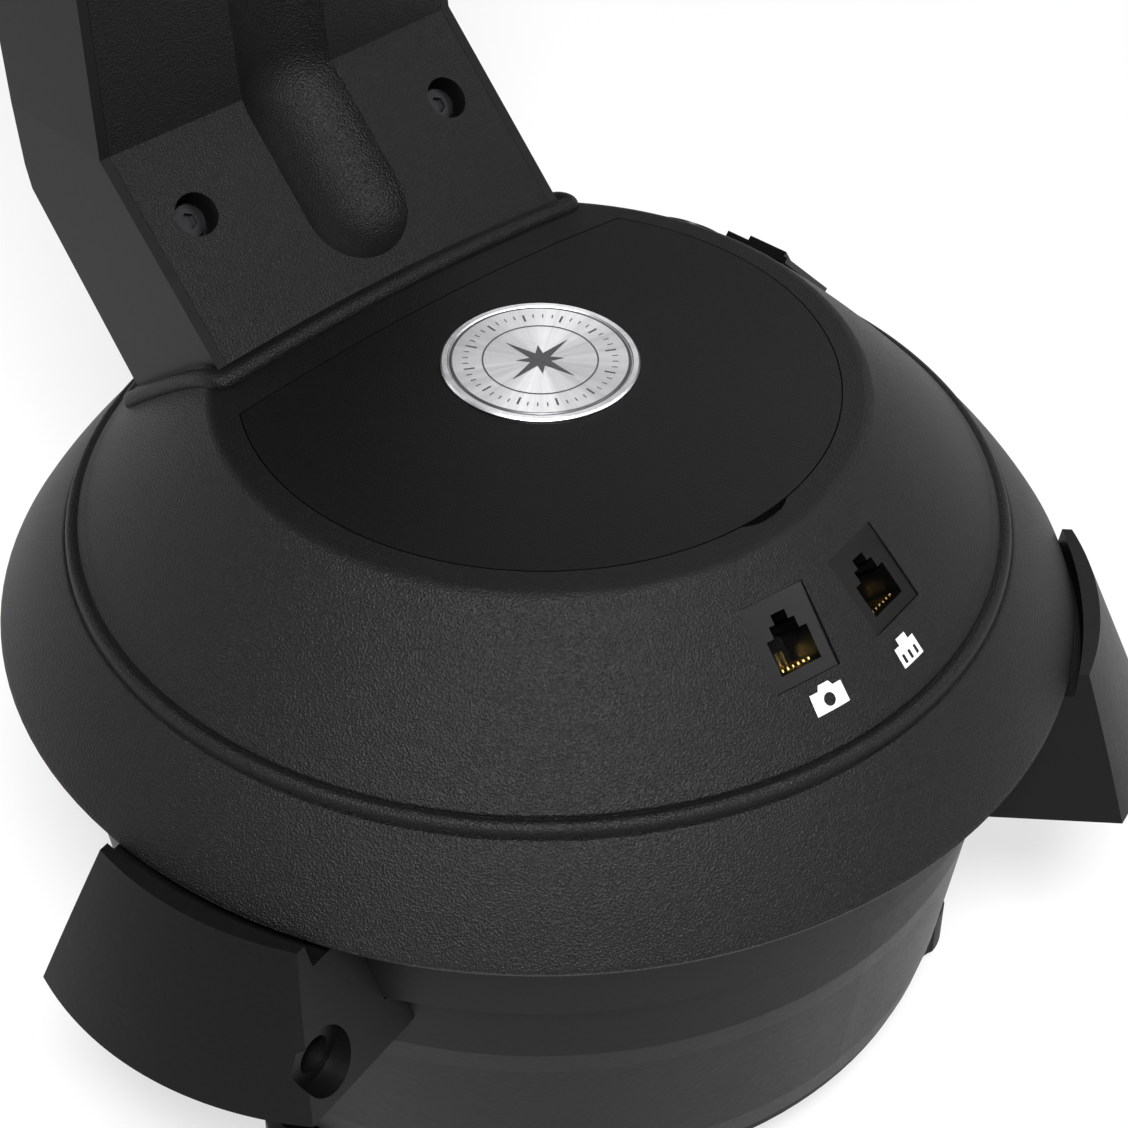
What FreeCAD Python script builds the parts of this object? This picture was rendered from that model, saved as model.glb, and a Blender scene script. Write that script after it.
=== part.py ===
# Computerised single-arm telescope mount on its tripod head.
#
# Frame: +Z up along the azimuth axis, -X towards the arm, +X towards the
# accessory sockets.  The origin is on the azimuth axis, at the flat underside
# of the tripod head's centre foot.  Heights marked "rise" count from the lower
# edge of the skirt, which lies base_z above the origin.
import FreeCAD, Part
import Sketcher
import math
import os

os.makedirs("parts", exist_ok=True)
V3 = FreeCAD.Vector
doc = FreeCAD.newDocument("telescope_mount")
sheet = doc.addObject("Spreadsheet::Sheet", "Sizes")


class Val:
    """A number together with the spreadsheet expression it came from."""

    def __init__(self, v, e):
        self.v, self.e = float(v), e

    def _op(self, o, sign, flip=False):
        ov, oe = (o.v, o.e) if isinstance(o, Val) else (float(o), repr(float(o)))
        a, b = ((ov, oe), (self.v, self.e)) if flip else ((self.v, self.e), (ov, oe))
        r = {"+": a[0] + b[0], "-": a[0] - b[0], "*": a[0] * b[0]}.get(sign)
        if sign == "/":
            r = a[0] / b[0]
        return Val(r, "(%s %s %s)" % (a[1], sign, b[1]))

    def __add__(self, o): return self._op(o, "+")
    def __radd__(self, o): return self._op(o, "+", True)
    def __sub__(self, o): return self._op(o, "-")
    def __rsub__(self, o): return self._op(o, "-", True)
    def __mul__(self, o): return self._op(o, "*")
    def __rmul__(self, o): return self._op(o, "*", True)
    def __truediv__(self, o): return self._op(o, "/")
    def __neg__(self): return Val(-self.v, "(0 - %s)" % self.e)


def n(x):
    return x.v if isinstance(x, Val) else float(x)


row = [0]


def cell(alias, value):
    row[0] += 1
    sheet.set("A%d" % row[0], alias)
    sheet.set("B%d" % row[0], str(value))
    sheet.setAlias("B%d" % row[0], alias)
    return Val(value, "Sizes." + alias)


def bind(obj, path, value):
    if isinstance(value, Val):
        obj.setExpression(path, value.e)


# ---------------------------------------------------------------- dimensions
base_z = cell("base_rise", 108.0)        # skirt edge above the tripod head's foot
skirt_r = cell("skirt_radius", 115.0)
groove_r = cell("groove_radius", 99.9)
flank_r = cell("flank_radius", 96.5)
plateau_r = cell("plateau_radius", 66.2)
crown = cell("crown_rise", 57.75)        # top of the shallow dome
dome_r = cell("dome_sphere_radius", 470.0)
shell_t = cell("shell_wall", 3.0)
door_r = cell("door_radius", 61.5)
door_x = cell("door_straight_edge", -31.4)
door_t = cell("door_thickness", 2.2)
badge_r = cell("badge_radius", 20.4)
badge_t = cell("badge_thickness", 1.0)
drum_r = cell("head_ring_radius", 104.6)
hub_r = cell("head_barrel_radius", 99.0)
hub_low_r = cell("head_barrel_low_radius", 95.0)
column_r = cell("head_column_radius", 22.0)
spindle_r = cell("spindle_radius", 10.0)
spigot_r = cell("spindle_spigot_radius", 11.95)
column_bore = cell("column_bore_radius", 12.0)
foot_r = cell("centre_foot_radius", 58.0)
rod_bore = cell("rod_bore_radius", 5.0)
leg_half = cell("leg_socket_half_width", 24.0)
leg_wall = cell("leg_socket_wall", 5.0)
leg_crown = cell("leg_socket_crown_radius", 80.0)
leg_pin = cell("leg_pin_radius", 4.0)
leg_slope = cell("leg_slope_angle", 66.0)
face_radius = cell("arm_face_crown_radius", 594.0)
leg_flare = cell("leg_socket_flare", 9.9)   # added to each side at the lower edge
leg_turn = cell("first_leg_azimuth", 43.0)
knob_pcd = cell("mounting_knob_circle_radius", 84.0)
knob_r = cell("mounting_knob_radius", 12.5)
screw_r = cell("mounting_screw_radius", 4.7)
plate_r = cell("base_plate_radius", 100.0)
pan_r = cell("pan_radius", 101.0)
pan_t = cell("pan_thickness", 2.5)
gear_module = cell("gear_pitch_module", 1.0)
az_teeth = cell("azimuth_gear_teeth", 90)
al_teeth = cell("altitude_gear_teeth", 60)
pin_teeth = cell("pinion_teeth", 15)
backlash = cell("gear_backlash", 0.25)
arm_half = cell("arm_half_width", 47.5)
arm_top = cell("arm_top_half_width", 42.0)
alt_rise = cell("altitude_axis_rise", 255.0)
arm_wall = cell("arm_cover_wall", 2.5)
side_wall = cell("arm_side_wall", 2.3)
cover_t = cell("inner_cover_thickness", 3.0)
cradle_r = cell("cradle_radius", 15.0)
jack_w = cell("jack_width", 15.5)
jack_l = cell("jack_length", 17.5)
jack_d = cell("jack_depth", 13.0)
cell_r = cell("battery_radius", 7.25)
cell_l = cell("battery_length", 50.5)
shaft_r = cell("altitude_shaft_radius", 8.0)
bearing_r = cell("bearing_outer_radius", 14.0)
dove_w = cell("dovetail_width", 44.0)
doc.recompute()

NODES = {}
ORDER = []
uid = [0]


def tag(prefix):
    uid[0] += 1
    return "%s_%03d" % (prefix, uid[0])


def node(name, obj):
    obj.Label = name
    NODES[name] = obj
    ORDER.append(name)
    return obj


# ---------------------------------------------------------------- sketch tools
def vertex_lock(sk, geo, pos, a, b):
    if abs(n(a)) < 1e-9:
        sk.addConstraint(Sketcher.Constraint("PointOnObject", geo, pos, -2))
    else:
        i = sk.addConstraint(Sketcher.Constraint("DistanceX", -1, 1, geo, pos, n(a)))
        if isinstance(a, Val):
            sk.setExpression("Constraints[%d]" % i, a.e)
    if abs(n(b)) < 1e-9:
        sk.addConstraint(Sketcher.Constraint("PointOnObject", geo, pos, -1))
    else:
        i = sk.addConstraint(Sketcher.Constraint("DistanceY", -1, 1, geo, pos, n(b)))
        if isinstance(b, Val):
            sk.setExpression("Constraints[%d]" % i, b.e)


def circle_through(p, q, r):
    ax, ay, bx, by, cx, cy = p.x, p.y, q.x, q.y, r.x, r.y
    d = 2 * (ax * (by - cy) + bx * (cy - ay) + cx * (ay - by))
    ux = ((ax * ax + ay * ay) * (by - cy) + (bx * bx + by * by) * (cy - ay) + (cx * cx + cy * cy) * (ay - by)) / d
    uy = ((ax * ax + ay * ay) * (cx - bx) + (bx * bx + by * by) * (ax - cx) + (cx * cx + cy * cy) * (bx - ax)) / d
    return V3(ux, uy, 0), math.hypot(ax - ux, ay - uy)


def draw_loop(sk, pts, arcs=None):
    """Closed outline through pts; arcs maps a segment's index to a middle point."""
    arcs = arcs or {}
    count = len(pts)
    ends = []
    for i in range(count):
        p, q = pts[i], pts[(i + 1) % count]
        P, Q = V3(n(p[0]), n(p[1]), 0), V3(n(q[0]), n(q[1]), 0)
        if i in arcs:
            m = arcs[i]
            M = V3(n(m[0]), n(m[1]), 0)
            c, rad = circle_through(P, M, Q)
            a0 = math.atan2(P.y - c.y, P.x - c.x)
            a1 = math.atan2(Q.y - c.y, Q.x - c.x)
            ccw = (M - P).cross(Q - M).z > 0
            lo, hi = (a0, a1) if ccw else (a1, a0)
            while hi < lo:
                hi += 2 * math.pi
            g = sk.addGeometry(Part.ArcOfCircle(Part.Circle(c, V3(0, 0, 1), rad), lo, hi), False)
            first, last = (1, 2) if ccw else (2, 1)
            if abs((P - Q).Length - 2 * rad) < 1e-3:
                # half circle: the centre lies midway between the two ends
                i = sk.addConstraint(Sketcher.Constraint("DistanceY", -1, 1, g, 3, c.y))
                if isinstance(p[1], Val) and abs(P.y - Q.y) < 1e-9:
                    sk.setExpression("Constraints[%d]" % i, p[1].e)
            else:
                sk.addConstraint(Sketcher.Constraint("Radius", g, rad))
        else:
            g = sk.addGeometry(Part.LineSegment(P, Q), False)
            first, last = 1, 2
        ends.append((g, first, last))
    for i in range(count):
        g, f, l = ends[i]
        g2, f2, l2 = ends[(i + 1) % count]
        sk.addConstraint(Sketcher.Constraint("Coincident", g, l, g2, f2))
    for i in range(count):
        g, f, l = ends[i]
        vertex_lock(sk, g, f, *pts[i])


def draw_circle(sk, a, b, r):
    g = sk.addGeometry(Part.Circle(V3(n(a), n(b), 0), V3(0, 0, 1), n(r)), False)
    i = sk.addConstraint(Sketcher.Constraint("Radius", g, n(r)))
    if isinstance(r, Val):
        sk.setExpression("Constraints[%d]" % i, r.e)
    vertex_lock(sk, g, 3, a, b)


def new_sketch(body, role, shift=0.0):
    sk = body.newObject("Sketcher::SketchObject", tag("Sketch"))
    plane = next(o for o in body.Origin.OriginFeatures if o.Role == role)
    sk.AttachmentSupport = [(plane, "")]
    sk.MapMode = "FlatFace"
    sk.AttachmentOffset = FreeCAD.Placement(V3(0, 0, n(shift)), FreeCAD.Rotation())
    bind(sk, "AttachmentOffset.Base.z", shift)
    return sk


def lift(obj, z=base_z):
    obj.Placement = FreeCAD.Placement(V3(0, 0, n(z)), FreeCAD.Rotation())
    bind(obj, "Placement.Base.z", z)
    return obj


def turned(pts, arcs=None, z=base_z, circles=()):
    """Body of revolution about Z; the outline is given as (radius, rise)."""
    body = doc.addObject("PartDesign::Body", tag("Body"))
    sk = new_sketch(body, "XZ_Plane")
    draw_loop(sk, pts, arcs)
    rev = body.newObject("PartDesign::Revolution", tag("Revolution"))
    rev.Profile = sk
    rev.ReferenceAxis = (sk, ["V_Axis"])
    rev.Angle = 360.0
    body.Tip = rev
    return lift(body, z)


def padded(role, loops, start, length, z=base_z, circles=()):
    """Pad of outlines on an origin plane from 'start' along the plane's normal."""
    body = doc.addObject("PartDesign::Body", tag("Body"))
    sk = new_sketch(body, role, start)
    for l in loops:
        draw_loop(sk, *l)
    for c in circles:
        draw_circle(sk, *c)
    pad = body.newObject("PartDesign::Pad", tag("Pad"))
    pad.Profile = sk
    pad.Length = n(length)
    bind(pad, "Length", length)
    body.Tip = pad
    return lift(body, z)


def side(pts, half, arcs=None, z=base_z, y0=None):
    """Outline in (x, rise), padded from y=+half to y=-half."""
    if y0 is None:
        return padded("XZ_Plane", [(pts, arcs)], -half if isinstance(half, Val) else -half, half * 2, z)
    return padded("XZ_Plane", [(pts, arcs)], -y0, half, z)


def front(pts, x0, length, arcs=None, z=base_z):
    """Outline in (y, rise), padded from x0 towards +X."""
    return padded("YZ_Plane", [(pts, arcs)], x0, length, z)


def plan(pts, z0, height, arcs=None, z=base_z, circles=()):
    """Outline in (x, y), padded upwards from rise z0."""
    return padded("XY_Plane", [(pts, arcs)] if pts else [], z0, height, z, circles)


# ---------------------------------------------------------------- solid tools
def rod(r, length, base, axis=(0, 0, 1), z=base_z):
    c = doc.addObject("Part::Cylinder", tag("Cylinder"))
    c.Radius, c.Height = n(r), n(length)
    bind(c, "Radius", r)
    bind(c, "Height", length)
    rot = FreeCAD.Rotation(V3(0, 0, 1), V3(*[n(a) for a in axis]))
    b = [n(base[0]), n(base[1]), n(base[2]) + n(z)]
    c.Placement = FreeCAD.Placement(V3(*b), rot)
    for k, a in zip("xy", base[:2]):
        bind(c, "Placement.Base.%s" % k, a)
    bind(c, "Placement.Base.z", base[2] + z)
    return c


def ball(r, centre, z=base_z):
    s = doc.addObject("Part::Sphere", tag("Sphere"))
    s.Radius = n(r)
    bind(s, "Radius", r)
    s.Placement = FreeCAD.Placement(V3(n(centre[0]), n(centre[1]), n(centre[2]) + n(z)), FreeCAD.Rotation())
    for k, a in zip("xy", centre[:2]):
        bind(s, "Placement.Base.%s" % k, a)
    bind(s, "Placement.Base.z", centre[2] + z)
    return s


def block(lo, hi, z=base_z):
    b = doc.addObject("Part::Box", tag("Box"))
    for prop, l, h in zip(("Length", "Width", "Height"), lo, hi):
        setattr(b, prop, n(h) - n(l))
        if isinstance(l, Val) or isinstance(h, Val):
            bind(b, prop, (h if isinstance(h, Val) else Val(h, repr(float(h)))) - l)
    b.Placement = FreeCAD.Placement(V3(n(lo[0]), n(lo[1]), n(lo[2]) + n(z)), FreeCAD.Rotation())
    for k, a in zip("xy", lo[:2]):
        bind(b, "Placement.Base.%s" % k, a)
    bind(b, "Placement.Base.z", lo[2] + z)
    return b


def fuse(*objs):
    f = doc.addObject("Part::MultiFuse", tag("Fuse"))
    f.Shapes = list(objs)
    return f


def common(*objs):
    f = doc.addObject("Part::MultiCommon", tag("Common"))
    f.Shapes = list(objs)
    return f


def cut(base, *tools):
    c = doc.addObject("Part::Cut", tag("Cut"))
    c.Base = base
    c.Tool = tools[0] if len(tools) == 1 else fuse(*tools)
    return c


def group(*objs):
    c = doc.addObject("Part::Compound", tag("Compound"))
    c.Links = list(objs)
    return c


def turn_about_z(obj, angle):
    obj.Placement = FreeCAD.Placement(V3(0, 0, 0), FreeCAD.Rotation(V3(0, 0, 1), n(angle)))
    bind(obj, "Placement.Rotation.Angle", angle)
    return obj


def bolt(tip, axis, shank_r, shank_l, head_r, head_h, z=base_z):
    """Cap screw: shank from tip along axis, then the head, with a hexagon socket."""
    a = V3(*axis).normalize()
    t = V3(*[n(q) for q in tip])
    h0 = t + a * shank_l
    shank = rod(shank_r, shank_l + 0.01, tuple(t), tuple(a), z)
    head = rod(head_r, head_h, tuple(h0), tuple(a), z)
    hexa = doc.addObject("Part::Prism", tag("Hexagon"))
    hexa.Polygon = 6
    hexa.Circumradius = head_r * 0.52
    hexa.Height = head_h * 0.6
    p = h0 + a * (head_h * 0.45)
    hexa.Placement = FreeCAD.Placement(V3(p.x, p.y, p.z + n(z)), FreeCAD.Rotation(V3(0, 0, 1), a))
    bind(hexa, "Placement.Base.z", Val(p.z, repr(p.z)) + z)
    return cut(fuse(shank, head), hexa)


def hole_for(tip, axis, shank_r, shank_l, head_r=None, head_h=None, z=base_z, play=0.1):
    a = V3(*axis).normalize()
    t = V3(*[n(q) for q in tip]) - a * play
    out = [rod(shank_r + play, shank_l + 2 * play, tuple(t), tuple(a), z)]
    if head_r:
        h0 = t + a * (shank_l + play)
        out.append(rod(head_r + play, head_h + 30, tuple(h0), tuple(a), z))
    return out


# =====================================================================
# 1. TRIPOD HEAD (fixed)
# =====================================================================
head = turned([
    (column_bore, -4.5), (drum_r - 0.8, -4.5), (drum_r, -5.3), (drum_r, -22.2), (drum_r - 0.8, -23),
    (hub_r + 1, -23), (hub_r + 1, -40), (hub_r, -46), (hub_low_r, -77), (hub_low_r - 1.5, -84),
    (90.0, -84), (90.5, -77), (94.5, -46), (95.3, -30), (95.3, -11), (column_r, -11),
    (column_r, -84), (column_bore, -84)])
knob_az = [leg_turn, leg_turn - 120, leg_turn + 120]


def at(radius, az, w=0.0):
    """Plan position at a radius in the direction az (degrees), w to its left."""
    a = math.radians(n(az))
    return (n(radius) * math.cos(a) - w * math.sin(a), n(radius) * math.sin(a) + w * math.cos(a))


screw_holes = [rod(5.2, 100, at(knob_pcd, a) + (-95,)) for a in knob_az]
lug = [rod(9.0, 76, at(knob_pcd, a) + (-84,)) for a in knob_az]

bolt_spec = []
for a in knob_az:
    for w in (-13.0, 13.0):
        x, y = at(97.5, a, w)
        r = math.radians(n(a))
        bolt_spec.append(((x, y, -14.0), (math.cos(r), math.sin(r), 0), 2.5, 12.6, 4.2, 3.6))
node("tripod_head", cut(fuse(head, *lug), *(screw_holes + [q for s in bolt_spec for q in hole_for(*s[:4])])))

foot = turned([
    (rod_bore, -84.0), (14.0, -84.0), (14.0, -104.0), (54.0, -104.0), (55.0, -88.0), (56.0, -84.0),
    (hub_low_r - 2.5, -84.0), (hub_low_r - 2.5, -87.0), (hub_low_r - 3.5, -88.0), (60.0, -88.0),
    (foot_r + 0.6, -107.4), (foot_r, -108.0), (rod_bore, -108.0)])
node("head_lower_plate", cut(foot, *[rod(5.2, 12, at(knob_pcd, a) + (-92,)) for a in knob_az]))

# --- leg hoods: inverted troughs that the leg tops pivot in
sl = math.radians(n(leg_slope))
axis_n = 30.5
ax0 = ((axis_n - math.cos(sl) * 30) / math.sin(sl), 0.0, 30.0)
ax_dir = (math.cos(sl), 0, -math.sin(sl))


def leg_socket(name, az):
    low = leg_half + leg_flare
    raw = common(side([(88.0, -32.0), (152.0, -32.0), (152.0, 1.0), (88.0, 1.0)], 45.0),
                 front([(-low, -32.0), (low, -32.0), (leg_half, 1.0), (-leg_half, 1.0)], 80.0, 80.0))
    outer = common(raw, rod(leg_crown, 110, ax0, ax_dir))
    inner_raw = side([(110.0, -40.0), (152.0, -40.0), (152.0, -5.0), (110.0, -5.0)], leg_half - leg_wall)
    inner = common(inner_raw, rod(leg_crown - leg_wall, 112, ax0, ax_dir))
    keep_out = turned([(0.0, -60.0), (hub_r + 1.05, -60.0), (hub_r + 1.05, -23.0), (drum_r + 0.05, -23.0),
                       (drum_r + 0.05, -4.0), (skirt_r + 1.8, -4.0), (skirt_r + 1.8, 6.0), (0.0, 6.0)])
    # the pivot hole is blind on one side and has a flat seat for the bolt's head on the other
    pin = rod(leg_pin, 66, (118.5, -28.0, -23.0), (0, 1, 0))
    panels = [rod(7.0, 20, (118.5, 28.0, -23.0), (0, 1, 0))]
    holes = []
    for w in (-13.0, 13.0):
        holes += hole_for((97.5, w, -14.0), (1, 0, 0), 2.5, 12.6)
    c = cut(outer, inner, keep_out, pin, *(panels + holes))
    turn_about_z(c, az)
    return node(name, c)


for k, a in enumerate(knob_az):
    leg_socket("leg_socket_%d" % (k + 1), a)
node("leg_socket_bolts", group(*[bolt(*s) for s in bolt_spec]))

# --- base plate and fixed azimuth parts
gear_bolt_spec = [((38.0 * math.cos(math.radians(t)), 38.0 * math.sin(math.radians(t)), -8.5), (0, 0, 1), 1.6, 14.0, 3.0, 1.4)
                  for t in (30, 150, 270)]
base_plate = turned([(column_bore, -4.5), (plate_r, -4.5), (plate_r, -1.5), (column_bore, -1.5)])
node("base_plate", cut(base_plate, *([rod(screw_r + 0.1, 10, at(knob_pcd, a) + (-8,)) for a in knob_az]
                                     + [q for s in gear_bolt_spec for q in hole_for(*s[:4])])))
NODES["tripod_head"].Tool.Shapes = NODES["tripod_head"].Tool.Shapes + [q for s in gear_bolt_spec for q in hole_for(*s[:4])]

node("azimuth_spindle", turned([
    (0.0, -30.0), (spigot_r - 0.6, -30.0), (spigot_r, -29.4), (spigot_r, -1.5), (30.0, -1.5), (30.0, 1.5), (spindle_r, 1.5),
    (spindle_r, 24.3), (8.0, 24.3), (8.0, 32.6), (7.4, 33.2), (0.0, 33.2)]))
node("spindle_washer", turned([(8.05, 24.3), (16.0, 24.3), (16.0, 25.8), (8.05, 25.8)]))
nut = doc.addObject("Part::Prism", tag("Nut"))
nut.Polygon, nut.Circumradius, nut.Height = 6, 13.0, 6.2
lift(nut, base_z + 25.8)
node("spindle_nut", cut(nut, rod(8.05, 12, (0, 0, 23))))


def gear_shape(teeth, module, bore, width, phase=0.0, web=None):
    """Straight-sided short teeth, tip 0.8 and root 1.0 module from the pitch circle."""
    rp = teeth * module / 2
    ra, rf = rp + 0.8 * module, rp - 1.05 * module
    pts = []
    for i in range(int(teeth)):
        c = 2 * math.pi * i / teeth + phase
        half_p = 0.42 * math.pi * module / 2 / rp
        k = math.tan(math.radians(20))
        for rr, sgn in ((rf, -1), (ra, -1), (ra, 1), (rf, 1)):
            half = half_p + (rp - rr) * k / rp
            half *= rp / rr
            pts.append(V3(rr * math.cos(c + sgn * half), rr * math.sin(c + sgn * half), 0))
    pts.append(pts[0])
    face = Part.Face(Part.makePolygon(pts))
    solid = face.extrude(V3(0, 0, width))
    if bore:
        solid = solid.cut(Part.makeCylinder(bore, width + 2, V3(0, 0, -1)))
    return solid


def raw_solid(shape, placement):
    f = doc.addObject("Part::Feature", tag("Gear"))
    f.Shape = shape
    f.Placement = placement
    return f


mod = sheet.get("gear_pitch_module")
z_az, z_al, z_p = (int(sheet.get(k)) for k in ("azimuth_gear_teeth", "altitude_gear_teeth", "pinion_teeth"))
az_centre = (z_az + z_p) * mod / 2 + sheet.get("gear_backlash")
al_centre = (z_al + z_p) * mod / 2 + sheet.get("gear_backlash")
Z0 = sheet.get("base_rise")

az_gear = raw_solid(gear_shape(z_az, mod, 32.0, 7.0, math.pi / 2),
                    FreeCAD.Placement(V3(0, 0, Z0 - 1.5), FreeCAD.Rotation()))
node("azimuth_gear", cut(az_gear, *[q for s in gear_bolt_spec for q in hole_for(*s[:4])]))
node("gear_screws", group(*[bolt(*s) for s in gear_bolt_spec]))

# --- captive mounting screws, one below each leg hood
for k, a in enumerate(knob_az):
    x, y = at(knob_pcd, a)
    body = doc.addObject("PartDesign::Body", tag("Body"))
    sk = new_sketch(body, "XZ_Plane")
    draw_loop(sk, [(0.0, -106.0), (knob_r - 2.5, -106.0), (knob_r, -104.0), (knob_r, -93.0), (knob_r - 2.0, -90.5),
                   (7.5, -90.5), (7.5, -88.6), (screw_r, -88.6), (screw_r, -2.2), (screw_r - 0.7, -1.6), (0.0, -1.6)])
    rev = body.newObject("PartDesign::Revolution", tag("Revolution"))
    rev.Profile, rev.ReferenceAxis, rev.Angle = sk, (sk, ["V_Axis"]), 360.0
    body.Tip = rev
    body.Placement = FreeCAD.Placement(V3(x, y, n(base_z)), FreeCAD.Rotation())
    bind(body, "Placement.Base.z", base_z)
    flutes = [rod(2.6, 20, (x + 14.2 * math.cos(math.radians(t)), y + 14.2 * math.sin(math.radians(t)), -108))
              for t in range(0, 360, 45)]
    node("mounting_knob_%d" % (k + 1), cut(body, *flutes))

# =====================================================================
# 2. TURNING BASE (azimuth body)
# =====================================================================
dome_mid = lambda r: n(crown) - (n(dome_r) - math.sqrt(n(dome_r) ** 2 - r * r))
p_edge = dome_mid(n(plateau_r))
outer_pts = [
    (0.0, crown), (plateau_r, p_edge), (68.5, 52.0), (flank_r, 23.9), (flank_r + 0.1, 23.0), (97.5, 23.25),
    (99.15, 21.45), (99.2, 20.4), (groove_r, 20.5), (skirt_r, 0.7), (skirt_r - 0.5, 0.0)]
outer_arcs = {0: (33.0, dome_mid(33.0)), 1: (67.55, 52.65), 2: (82.9, 38.35), 5: (98.85, 22.8), 8: (107.95, 11.1)}
inner_pts = [
    (skirt_r - 1.6, 0.0), (skirt_r - 1.6, -1.6), (skirt_r - 3.4, -1.6), (97.0, 18.4), (94.6, 21.4), (68.0, 48.0),
    (62.0, 49.1), (0.0, crown - 4.5)]
shell_solid = turned(outer_pts + inner_pts, dict(outer_arcs))
envelope_pts = outer_pts + [(skirt_r - 0.5, -2.0), (0.0, -2.0)]


def envelope(z=base_z):
    return turned(envelope_pts, dict(outer_arcs), z)


def dome_slab(radius, top, bottom):
    """Slab that follows the dome, 'top' above and 'bottom' below its surface."""
    r = n(radius)
    return turned([(0.0, crown + top), (radius, dome_mid(r) + top), (radius, dome_mid(r) - bottom), (0.0, crown - bottom)],
                  {0: (r / 2, dome_mid(r / 2) + top), 2: (r / 2, dome_mid(r / 2) - bottom)})


def d_keep(x0):
    return block((x0, -90.0, 30.0), (90.0, 90.0, 80.0))


pocket = common(dome_slab(door_r + 0.3, 4.0, 2.35), d_keep(door_x - 0.3))
throat = common(rod(58.4, 40, (0, 0, 30)), d_keep(door_x + 3.0))
nick_az = math.radians(1.6)
nick = rod(12.0, 10, (51.4 * math.cos(nick_az), 51.4 * math.sin(nick_az), 51.4))


def flank_frame(az_deg, radius=80.4, rise=40.2):
    """Placement on the flank: local Z outwards, local Y up the slope, local X along the rim."""
    a = math.radians(az_deg)
    zax = V3(math.cos(a), math.sin(a), 1.0).normalize()
    yax = V3(-math.cos(a), -math.sin(a), 1.0).normalize()
    xax = yax.cross(zax)
    m = FreeCAD.Matrix(xax.x, yax.x, zax.x, 0, xax.y, yax.y, zax.y, 0, xax.z, yax.z, zax.z, 0, 0, 0, 0, 1)
    p = V3(radius * math.cos(a), radius * math.sin(a), rise + n(base_z))
    return FreeCAD.Placement(p, FreeCAD.Placement(m).Rotation)


def flank_box(az_deg, lo, hi, **kw):
    b = doc.addObject("Part::Box", tag("Box"))
    for prop, l, h in zip(("Length", "Width", "Height"), lo, hi):
        setattr(b, prop, n(h) - n(l))
        if isinstance(h, Val):
            bind(b, prop, h - l)
    fr = flank_frame(az_deg, **kw)
    b.Placement = fr.multiply(FreeCAD.Placement(V3(*[n(q) for q in lo]), FreeCAD.Rotation()))
    return b


def flank_rod(az_deg, r, z0, length, x=0.0, y=0.0, **kw):
    c = doc.addObject("Part::Cylinder", tag("Cylinder"))
    c.Radius, c.Height = n(r), length
    bind(c, "Radius", r)
    fr = flank_frame(az_deg, **kw)
    c.Placement = fr.multiply(FreeCAD.Placement(V3(x, y, z0), FreeCAD.Rotation()))
    return c


CAM_AZ, AUX_AZ, SW_AZ, DC_AZ = -6.9, 10.8, 96.0, 112.0
jw, jl = jack_w / 2, jack_l / 2
jack_cut = [flank_box(a, (-jw - 0.1, -jl - 0.1, -16.0), (jw + 0.1, jl + 0.1, 8.0)) for a in (CAM_AZ, AUX_AZ)]
switch_cut = flank_box(SW_AZ, (-7.1, -10.6, -12.0), (7.1, 10.6, 8.0))
dc_cut = flank_rod(DC_AZ, 5.6, -14.0, 24.0)
posts = [rod(4.5, 18.5, at(88.5, a) + (11.5,)) for a in (45, 135, 225, 315)]
post_holes = [rod(1.85, 12, at(88.5, a) + (10.0,)) for a in (45, 135, 225, 315)]
arm_window = block((-75.0, -34.0, 20.0), (-57.0, 34.0, 62.0))

# --- arm outline, used by the covers, the collar and the frame
lean0, lean1, up1, arm_peak = (-30.25, 40.0), (-80.65, 88.0), (-99.5, 255.0), (-104.5, 300.0)
arm_poly = [lean0, lean1, up1, arm_peak, (-145.1, 300.0), (-109.3, 74.1), (-107.6, 68.9), (-70.5, 28.9), (-52.0, 20.0)]


def arm_front(inset, x0=-150.0, length=130.0, low=15.0):
    a, t = arm_half - inset, arm_top - inset
    return front([(-a, low), (a, low), (a, 88.0), (t, alt_rise), (-t, alt_rise), (-a, 88.0)], x0, length,
                 {3: (0.0, n(alt_rise) + n(arm_top) - inset)})


raised = [(p[0] if n(p[0]) == 0 else p[0] + 1.0, p[1] + 1.2) for p in outer_pts]
raised_arcs = {k: (m[0] + (0.0 if k == 0 else 1.0), m[1] + 1.2) for k, m in outer_arcs.items()}
raised_arcs[0] = (33.5, dome_mid(33.0) + 1.2)


def unit(a, b):
    d = (b[0] - a[0], b[1] - a[1])
    l = math.hypot(*d)
    return (d[0] / l, d[1] / l)


def shift_line(a, b, d):
    u = unit(a, b)
    nx, nz = -u[1], u[0]
    return ((a[0] + nx * d, a[1] + nz * d), (b[0] + nx * d, b[1] + nz * d))


def meet(l1, l2):
    (x1, y1), (x2, y2) = l1
    (x3, y3), (x4, y4) = l2
    den = (x1 - x2) * (y3 - y4) - (y1 - y2) * (x3 - x4)
    px = ((x1 * y2 - y1 * x2) * (x3 - x4) - (x1 - x2) * (x3 * y4 - y3 * x4)) / den
    pz = ((x1 * y2 - y1 * x2) * (y3 - y4) - (y1 - y2) * (x3 * y4 - y3 * x4)) / den
    return (px, pz)


# The inner face is crowned across its width: 1.9 mm higher on the middle line than at the arm's edges.
def crown_rod(a, b, proud):
    """Large cylinder that lies along the line a-b and stands proud of it on the arm's middle plane."""
    u = unit(a, b)
    deep = n(face_radius) - 1.9
    base = (a[0] - u[1] * deep - u[0] * 90.0, 0.0, a[1] + u[0] * deep - u[1] * 90.0)
    return rod(n(face_radius) + proud, 420.0, base, (u[0], 0, u[1]))


def face_line(a, b, out):
    return shift_line(a, b, -out)


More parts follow.
